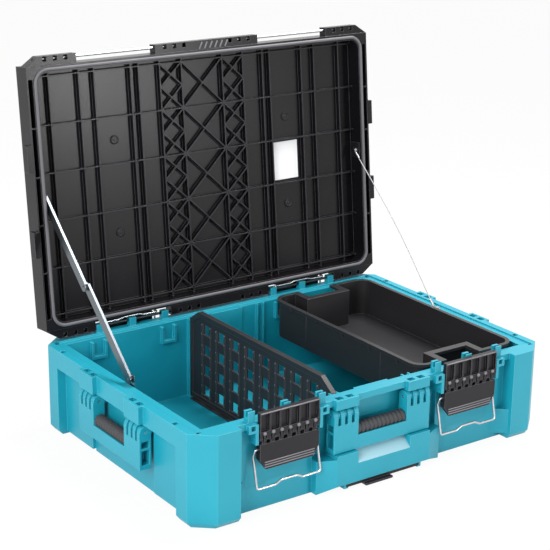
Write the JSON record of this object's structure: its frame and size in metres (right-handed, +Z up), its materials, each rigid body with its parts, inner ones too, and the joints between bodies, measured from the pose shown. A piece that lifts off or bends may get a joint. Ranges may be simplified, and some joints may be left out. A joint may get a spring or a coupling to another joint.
{
  "type": "tool case",
  "caption": "Wide stackable tool case with a hinged ribbed lid, wire latches, fold-down carry handles, a lift-out tray and a perforated divider.",
  "frame": {"origin": "centre of the case's base, on the surface that it stands on", "axes": "+X to the right as seen from the latches, +Y from the latches to the hinge, +Z up"},
  "size_m": [0.82, 0.6375, 0.7167],
  "materials": {
    "teal_plastic": "fine moulded grain",
    "black_plastic": "fine moulded grain",
    "grip_rubber": "matt ribbed",
    "seal_rubber": "satin",
    "bright_steel": "bright zinc plate",
    "white_card": "plain film",
    "pale_plate": "satin"
  },
  "bodies": {
    "case": {"case_body": "teal_plastic", "front_label_plate": "pale_plate", "front_handle_pins": "bright_steel", "left_handle_pins": "bright_steel", "right_handle_pins": "bright_steel", "left_latch_clasp": "black_plastic", "right_latch_clasp": "black_plastic", "left_latch_pin": "bright_steel", "right_latch_pin": "bright_steel", "left_hinge_wire": "bright_steel", "right_hinge_wire": "bright_steel", "stay_case_bracket": "bright_steel", "lanyard_case_end": "bright_steel", "lanyard_case_screw": "bright_steel", "lanyard_wire": "bright_steel"},
    "lid": {"lid_shell": "black_plastic", "lid_seal": "seal_rubber", "lid_front_rods": "bright_steel", "lid_rear_rods": "bright_steel", "lid_label": "white_card", "stay_lid_bracket": "bright_steel", "lanyard_lid_end": "bright_steel", "lanyard_lid_screw": "bright_steel"},
    "front_carry_handle": {"front_handle": "teal_plastic", "front_grip": "grip_rubber"},
    "left_carry_handle": {"left_handle": "teal_plastic", "left_grip": "grip_rubber"},
    "right_carry_handle": {"right_handle": "teal_plastic", "right_grip": "grip_rubber"},
    "left_lever": {"left_latch_lever": "black_plastic"},
    "right_lever": {"right_latch_lever": "black_plastic"},
    "left_bail": {"left_latch_bail": "bright_steel"},
    "right_bail": {"right_latch_bail": "bright_steel"},
    "stay_lower": {"stay_lower_link": "bright_steel", "stay_elbow_rivet": "bright_steel"},
    "stay_upper": {"stay_upper_link": "bright_steel"},
    "tray": {"lift_out_tray": "black_plastic"},
    "divider_panel": {"divider": "black_plastic"},
    "lock_slide": {"base_lock_slide": "black_plastic"}
  },
  "joints": [
    {"name": "lid_hinge", "type": "hinge", "parent": "case", "child": "lid", "pos_m": [0, 0.264, 0.1845], "axis": [-1, 0, 0], "range_deg": [-95.6, 0], "deforming": ["lanyard_wire"]},
    {"name": "front_handle_lift", "type": "hinge", "parent": "case", "child": "front_carry_handle", "pos_m": [0, -0.263, 0.142], "axis": [-1, 0, 0], "range_deg": [0, 90]},
    {"name": "left_handle_lift", "type": "hinge", "parent": "case", "child": "left_carry_handle", "pos_m": [-0.397, 0, 0.1245], "axis": [0, 1, 0], "range_deg": [0, 90]},
    {"name": "right_handle_lift", "type": "hinge", "parent": "case", "child": "right_carry_handle", "pos_m": [0.397, 0, 0.1245], "axis": [0, -1, 0], "range_deg": [0, 90]},
    {"name": "left_lever_swing", "type": "hinge", "parent": "case", "child": "left_lever", "pos_m": [-0.208, -0.271, 0.141], "axis": [-1, 0, 0], "range_deg": [0, 90]},
    {"name": "left_bail_swing", "type": "hinge", "parent": "left_lever", "child": "left_bail", "pos_m": [-0.208, -0.27, 0.121], "axis": [-1, 0, 0], "range_deg": [0, 100]},
    {"name": "right_lever_swing", "type": "hinge", "parent": "case", "child": "right_lever", "pos_m": [0.208, -0.271, 0.141], "axis": [-1, 0, 0], "range_deg": [0, 90]},
    {"name": "right_bail_swing", "type": "hinge", "parent": "right_lever", "child": "right_bail", "pos_m": [0.208, -0.27, 0.121], "axis": [-1, 0, 0], "range_deg": [0, 100]},
    {"name": "stay_lower_fold", "type": "hinge", "parent": "case", "child": "stay_lower", "pos_m": [-0.366, -0.002, 0.182], "axis": [1, 0, 0], "range_deg": [-40.49, 0]},
    {"name": "stay_upper_fold", "type": "hinge", "parent": "lid", "child": "stay_upper", "pos_m": [-0.372, 0.29643, 0.4486], "axis": [1, 0, 0], "range_deg": [0, 41.34]},
    {"name": "tray_lift", "type": "slide", "parent": "case", "child": "tray", "axis": [0, 0, 1], "range_m": [0, 0.2]},
    {"name": "divider_lift", "type": "slide", "parent": "case", "child": "divider_panel", "axis": [0, 0, 1], "range_m": [0, 0.18]},
    {"name": "base_lock_pull", "type": "slide", "parent": "case", "child": "lock_slide", "axis": [0, -1, 0], "range_m": [0, 0.012]}
  ],
  "couplings": [
    {"joint": "stay_lower_fold", "follows": "lid_hinge", "ratio": 0.4235},
    {"joint": "stay_upper_fold", "follows": "lid_hinge", "ratio": -0.43238}
  ]
}
